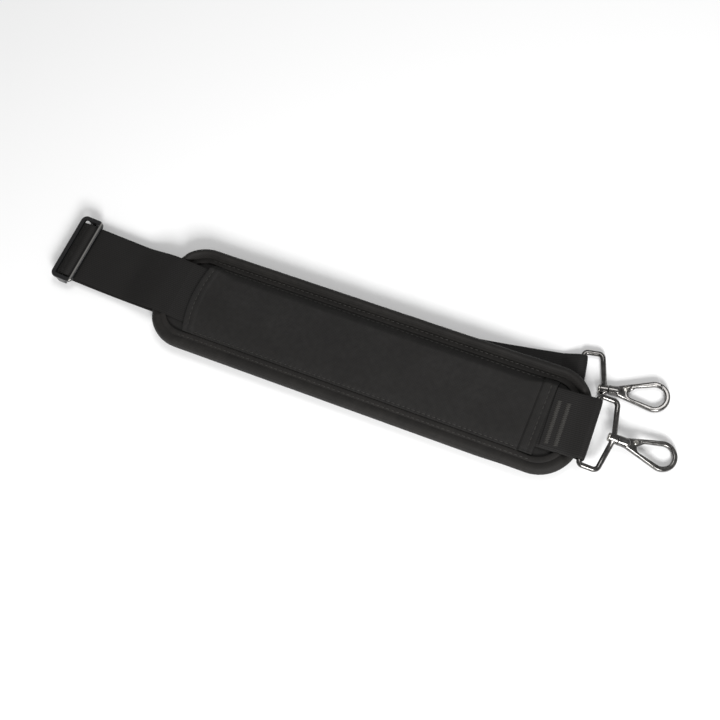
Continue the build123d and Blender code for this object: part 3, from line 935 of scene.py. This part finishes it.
def coil(name, node, body):
    """A wire circle carried along a helix that fills the node's cylinder."""
    points = np.array([v.co for v in frame["nodes"][node].data.vertices]) / MM
    centre = points.mean(axis=0)
    axis = np.linalg.svd(points - centre, full_matrices=False)[2][0]
    reach = (points - centre) @ axis
    radius = np.linalg.norm(points - centre - reach[:, None] * axis, axis=1).max() - COIL_WIRE / 2
    side = np.cross(axis, [0, 0, 1.0])
    side /= np.linalg.norm(side)
    up = np.cross(axis, side)
    share = np.linspace(0, 1, COIL_TURNS * 20)
    turn = share * COIL_TURNS * 2 * math.pi
    outward = np.cos(turn)[:, None] * side + np.sin(turn)[:, None] * up
    start, end = reach.min() + COIL_WIRE / 2, reach.max() - COIL_WIRE / 2
    line = centre + (start + share * (end - start))[:, None] * axis + outward * radius
    ring = (np.arange(8) * math.pi / 4)[None, :, None]
    cloud = line[:, None] + (outward[:, None] * np.cos(ring) + axis * np.sin(ring)) * COIL_WIRE / 2
    rows, columns = cloud.shape[:2]
    piece = make_piece(name, cloud.reshape(-1, 3), tube_faces(rows, columns))
    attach(piece, body)
    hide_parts(node)
    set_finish(piece, "spring_steel")
    return piece


for side in "ab":
    coil(f"gate_coil_{side}", f"gate_spring_{side}", f"hook_{side}")


# %% [markdown]
# ## Finishes
# Every finish is a short node tree on the piece's own coordinates in metres. One helper turns a
# hex colour into the linear light that a shader works in, and one adds a node with its settings
# and links. Patterns are sized from the real thing: thread spacing, grain and grit.


# %% Colour and node helpers
def linear(hex_colour):
    """An sRGB hex colour as linear red, green, blue and alpha."""
    parts = [int(hex_colour[k : k + 2], 16) / 255 for k in (1, 3, 5)]
    return (*[p / 12.92 if p <= 0.04045 else ((p + 0.055) / 1.055) ** 2.4 for p in parts], 1.0)


def feed(tree, node, inputs):
    """Gives each input a number, a colour, another node's output, or a node for its first output."""
    for key, value in inputs.items():
        source = value.outputs[0] if isinstance(value, bpy.types.Node) else value
        if isinstance(source, bpy.types.NodeSocket):
            tree.links.new(source, node.inputs[key])
        else:
            node.inputs[key].default_value = source


def add(tree, kind, inputs, stops=(), **settings):
    """A shader node with its settings, its inputs and, on a colour ramp, its (place, hex) stops."""
    node = tree.nodes.new("ShaderNode" + kind)
    for key, value in settings.items():
        setattr(node, key, value)
    feed(tree, node, inputs)
    if stops:
        elements = node.color_ramp.elements
        while len(elements) < len(stops):
            elements.new(0.5)
        for element, (place, colour) in zip(elements, stops):
            element.position, element.color = place, linear(colour)
    return node


def finish_named(name):
    """An empty finish: its tree, its shader and its coordinates."""
    material = bpy.data.materials.new(name)
    material.use_nodes = True
    tree = material.node_tree
    return material, tree, tree.nodes["Principled BSDF"], add(tree, "TexCoord", {}).outputs


def wave(tree, value, spacing):
    """A sine from 0 to 1 that repeats every spacing millimetres along one coordinate."""
    turn = add(tree, "Math", {0: value, 1: 2 * math.pi / (spacing * MM)}, operation="MULTIPLY")
    sine = add(tree, "Math", {0: turn}, operation="SINE")
    return add(tree, "Math", {0: sine, 1: 0.5, 2: 0.5}, operation="MULTIPLY_ADD")


# %% [markdown]
# **Woven nylon webbing.** Thick warp cords run along the strip and a fine weft crosses them, so
# the eye sees lengthwise ribs with short breaks. Ribs and breaks are both a little over a
# millimetre apart, and the breaks are staggered from rib to rib. Nylon has a faint sheen, which
# turns the ribs grey where they face the light.


# %% Woven nylon webbing
RIB_SPACING = 1.2
WEFT_SPACING = 1.3
BREAK_SHARE = 0.22
FADED_PATCH = 14


def woven_webbing():
    """Ribs along the length from the flat map, weft breaks across it, and slow fading."""
    material, tree, shader, place = finish_named("woven_nylon_webbing")
    flat = add(tree, "SeparateXYZ", {"Vector": place["UV"]})
    across, along = flat.outputs["X"], flat.outputs["Y"]
    ribs = wave(tree, across, RIB_SPACING)
    rib_pairs = wave(tree, across, 2 * RIB_SPACING)
    stagger = add(tree, "Math", {0: rib_pairs, 1: math.pi}, operation="MULTIPLY")
    rate = 2 * math.pi / (WEFT_SPACING * MM)
    turn = add(tree, "Math", {0: along, 1: rate, 2: stagger}, operation="MULTIPLY_ADD")
    breaks = add(tree, "Math", {0: turn}, operation="SINE")
    weave = add(tree, "Math", {0: breaks, 1: BREAK_SHARE, 2: ribs}, operation="MULTIPLY_ADD")
    faded = add(tree, "TexNoise", {"Vector": place["UV"], "Scale": 1 / (FADED_PATCH * MM), "Detail": 3.0})
    tone = add(tree, "Math", {0: faded, 1: 0.5, 2: weave}, operation="MULTIPLY_ADD")
    colour = add(tree, "ValToRGB", {"Fac": tone}, [(0.0, "#100f0f"), (0.6, "#161514"), (1.0, "#1c1b1a")])
    bump = add(tree, "Bump", {"Height": weave, "Strength": 1.0, "Distance": 0.09 * MM})
    feed(tree, shader, {"Base Color": colour, "Roughness": 0.62, "Specular IOR Level": 0.18})
    feed(tree, shader, {"Sheen Weight": 0.04, "Sheen Roughness": 0.4, "Normal": bump})
    return material


# %% [markdown]
# **Woven polyester and binding.** The panel and cover are a plain-weave packcloth with a matt
# coating. The binding is a tighter cloth pulled over the roll. Both weaves are about half a
# millimetre in reality, and are drawn about twice as coarse so that they show.


# %% Packcloth
SLUB = 3.5
BLOTCH = 22
WEAVE_SHARE = 0.45


def packcloth(name, dark, light, spacing, sheen):
    """A plain weave: two crossed sines in object space, broken up by noise, over a matt colour."""
    material, tree, shader, place = finish_named(name)
    axes = add(tree, "SeparateXYZ", {"Vector": place["Object"]})
    warp, weft = wave(tree, axes.outputs["X"], spacing), wave(tree, axes.outputs["Y"], spacing)
    slub = add(tree, "TexNoise", {"Vector": place["Object"], "Scale": 1 / (SLUB * MM), "Detail": 3.0})
    blotch = add(tree, "TexNoise", {"Vector": place["Object"], "Scale": 1 / (BLOTCH * MM), "Detail": 3.0})
    fuzz = add(tree, "Math", {0: slub, 1: blotch}, operation="MULTIPLY")
    crossed = add(tree, "Math", {0: warp, 1: weft}, operation="MULTIPLY")
    tone = add(tree, "Math", {0: crossed, 1: WEAVE_SHARE, 2: fuzz}, operation="MULTIPLY_ADD")
    colour = add(tree, "ValToRGB", {"Fac": tone}, [(0.1, dark), (0.75, light)])
    bump = add(tree, "Bump", {"Height": tone, "Strength": 1.0, "Distance": 0.12 * MM})
    feed(tree, shader, {"Base Color": colour, "Roughness": 0.7, "Specular IOR Level": 0.2})
    feed(tree, shader, {"Sheen Weight": sheen, "Sheen Roughness": 0.45, "Normal": bump})
    return material


# %% [markdown]
# ** Thread, enamel and nickel.** Polyester thread is a little lighter than the cloth and shines
# along its twist. The slider is steel under glossy black enamel, with a painted highlight: a band of bright
# metal along the near bar's crest. The rings and hooks are die-cast zinc plated in black nickel: a dark
# mirror with faint cloudiness.


# %% Thread, plating and enamel
TWIST = 0.5
CAST_RIPPLE = 0.6
ENAMEL_GRIT = 0.7
# The painted highlight on the slider's near bar: full strength close to its line, gone a little further out,
# on the top half millimetre only.
HIGHLIGHT_FULL = 0.3
HIGHLIGHT_EDGE = 0.65
HIGHLIGHT_DEPTH = 0.5


def polyester_thread(name, dark, light):
    """Twisted thread: a fine uneven grain over a grey."""
    material, tree, shader, place = finish_named(name)
    grain = add(tree, "TexNoise", {"Vector": place["Object"], "Scale": 1 / (TWIST * MM), "Detail": 3.0})
    colour = add(tree, "ValToRGB", {"Fac": grain}, [(0.3, dark), (0.7, light)])
    bump = add(tree, "Bump", {"Height": grain, "Strength": 1.0, "Distance": 0.05 * MM})
    feed(tree, shader, {"Base Color": colour, "Roughness": 0.5, "Specular IOR Level": 0.3, "Normal": bump})
    return material


def plated(name, dark, light, roughness, cloud_size=3.0):
    """Plated metal: cloudy colour and roughness, with a very fine ripple from the casting."""
    material, tree, shader, place = finish_named(name)
    cloud = add(tree, "TexNoise", {"Vector": place["Object"], "Scale": 1 / (cloud_size * MM), "Detail": 3.0})
    fine = add(tree, "TexNoise", {"Vector": place["Object"], "Scale": 1 / (CAST_RIPPLE * MM), "Detail": 2.0})
    colour = add(tree, "ValToRGB", {"Fac": cloud}, [(0.3, dark), (0.7, light)])
    spread = add(tree, "MapRange", {"Value": cloud, "To Min": roughness[0], "To Max": roughness[1]})
    bump = add(tree, "Bump", {"Height": fine, "Strength": 1.0, "Distance": 0.006 * MM})
    feed(tree, shader, {"Base Color": colour, "Metallic": 1.0, "Roughness": spread, "Normal": bump})
    return material


def black_enamel():
    """Baked enamel over steel, with a painted highlight: bright metal mixed in along the near bar's crest."""
    material, tree, shader, place = finish_named("baked_black_enamel")
    grit = add(tree, "TexNoise", {"Vector": place["Object"], "Scale": 1 / (ENAMEL_GRIT * MM), "Detail": 3.0})
    line = add(tree, "VectorMath", {0: place["Object"], 1: slide}, operation="DOT_PRODUCT")
    offset = add(tree, "Math", {0: line.outputs["Value"], 1: highlight_line}, operation="SUBTRACT")
    away = add(tree, "Math", {0: offset}, operation="ABSOLUTE")
    fade = {"From Min": HIGHLIGHT_FULL * MM, "From Max": HIGHLIGHT_EDGE * MM, "To Min": 0.9, "To Max": 0}
    band = add(tree, "MapRange", {"Value": away, **fade}, interpolation_type="SMOOTHSTEP")
    axes = add(tree, "SeparateXYZ", {"Vector": place["Object"]})
    highlight_down_to = (slider_high[2] - HIGHLIGHT_DEPTH) * MM
    on_top = add(tree, "Math", {0: axes.outputs["Z"], 1: highlight_down_to}, operation="GREATER_THAN")
    # Mask of the painted highlight: the band beside the near bar's line, on its top face only.
    painted_highlight = add(tree, "Math", {0: band, 1: on_top}, operation="MULTIPLY")
    enamel = add(tree, "ValToRGB", {"Fac": grit}, [(0.3, "#0b0b0c"), (0.7, "#151516")])
    colour = add(tree, "Mix", {"Factor": painted_highlight, 6: enamel, 7: linear("#a9a7a3")}, data_type="RGBA")
    bump = add(tree, "Bump", {"Height": grit, "Strength": 1.0, "Distance": 0.008 * MM})
    feed(tree, shader, {"Base Color": colour.outputs[2], "Metallic": painted_highlight, "Roughness": 0.28, "Normal": bump})
    return material


# %% Dress the pieces
# The line of the painted highlight: along the near bar, half a bar in from the slider's end.
NEAR_BAR_HALF = 1.2
highlight_place = np.array([slider_high[0], (slider_low[1] + slider_high[1]) / 2, 0]) * MM
corner_back = (slider_high[1] - slider_low[1]) / 2 * abs(math.sin(yaw_c)) * MM
highlight_line = float(np.dot(highlight_place, slide)) - corner_back - NEAR_BAR_HALF * MM
finishes = {
    "webbing": woven_webbing(),
    "panel_cloth": packcloth("packcloth_panel", "#141312", "#232221", 0.95, 0.04),
    "cover_cloth": packcloth("packcloth_cover", "#141312", "#201f1e", 0.95, 0.04),
    "binding_cloth": packcloth("rolled_binding", "#131211", "#242220", 0.8, 0.03),
    "backing_cloth": packcloth("brushed_backing", "#121212", "#222222", 1.4, 0.12),
    "thread": polyester_thread("polyester_thread", "#1f1e1c", "#32302e"),
    "slider_metal": black_enamel(),
    "ring_metal": plated("black_nickel_wire", "#4b4a49", "#6b6967", (0.14, 0.24)),
    "hook_metal": plated("black_nickel_casting", "#525150", "#7a7876", (0.16, 0.28)),
    "pin_metal": plated("bright_nickel", "#9a9893", "#c9c6c0", (0.16, 0.3)),
    "spring_steel": plated("spring_wire", "#8b8a88", "#b5b4b2", (0.2, 0.34), 0.8),
}
tack_thread = polyester_thread("heavy_polyester_thread", "#232220", "#393734")
for piece in bpy.context.scene.objects:
    if piece.type == "MESH" and "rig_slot" in piece:
        piece.data.materials.clear()
        heavy = piece in (tab_stitches, tail_stitches)
        piece.data.materials.append(tack_thread if heavy else finishes[piece["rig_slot"]])
print(len(finishes), "finishes")


# %% [markdown]
# ## Studio
# The strap lies on a seamless pale floor under one soft light from the near right and a weaker
# one overhead, so the slopes that face away go dark, the roll shows and the left mouth of the
# sleeve throws a shadow. The camera looks down steeply from the near right, a little rolled.

# %% Floor and lights
FLOOR_HALF = 20.0
floor_mesh = bpy.data.meshes.new("studio_floor")
corners = [(x * FLOOR_HALF, y * FLOOR_HALF, 0) for x, y in [(-1, -1), (1, -1), (1, 1), (-1, 1)]]
floor_mesh.from_pydata(corners, [], [(0, 1, 2, 3)])
floor = bpy.data.objects.new("studio_floor", floor_mesh)
bpy.context.scene.collection.objects.link(floor)
paper, _, shader, _ = finish_named("seamless_paper")
shader.inputs["Base Color"].default_value = linear("#f4f4f4")
shader.inputs["Roughness"].default_value = 0.9
floor_mesh.materials.append(paper)


def soft_light(name, place, target, size, power):
    """A square area light at a place in metres, facing a target."""
    lamp = bpy.data.lights.new(name, "AREA")
    lamp.shape, lamp.size, lamp.energy = "SQUARE", size, power
    light = bpy.data.objects.new(name, lamp)
    light.location = place
    light.rotation_euler = (Vector(target) - Vector(place)).to_track_quat("-Z", "Y").to_euler()
    bpy.context.scene.collection.objects.link(light)


centre = (0.0, 0.0, 0.01)
soft_light("key", (0.52, -0.76, 0.66), centre, 0.4, 16)
soft_light("overhead", (0.1, 0.35, 1.3), centre, 0.5, 5)
world = bpy.data.worlds.new("studio")
world.use_nodes = True
world.node_tree.nodes["Background"].inputs["Color"].default_value = linear("#ffffff")
world.node_tree.nodes["Background"].inputs["Strength"].default_value = 0.36
bpy.context.scene.world = world
bpy.context.scene.view_settings.view_transform = "Standard"

# %% Camera
AZIMUTH = math.radians(43.0)
ELEVATION = math.radians(67.5)
ROLL = math.radians(-21.5)
DISTANCE = 0.7677
TARGET = Vector((0, -0.0041, 0.013))
back = Vector((
    math.sin(AZIMUTH) * math.cos(ELEVATION),
    -math.cos(AZIMUTH) * math.cos(ELEVATION),
    math.sin(ELEVATION),
))
lens_turn = (-back).to_track_quat("-Z", "Y").to_matrix().to_4x4() @ Matrix.Rotation(ROLL, 4, "Z")
camera_data = bpy.data.cameras.new("camera")
camera_data.lens = 63.9
camera_data.clip_start, camera_data.clip_end = 0.01, 100
camera = bpy.data.objects.new("camera", camera_data)
camera.matrix_world = Matrix.Translation(TARGET + back * DISTANCE) @ lens_turn
bpy.context.scene.collection.objects.link(camera)
bpy.context.scene.camera = camera
print("camera at", [round(v, 3) for v in camera.location])
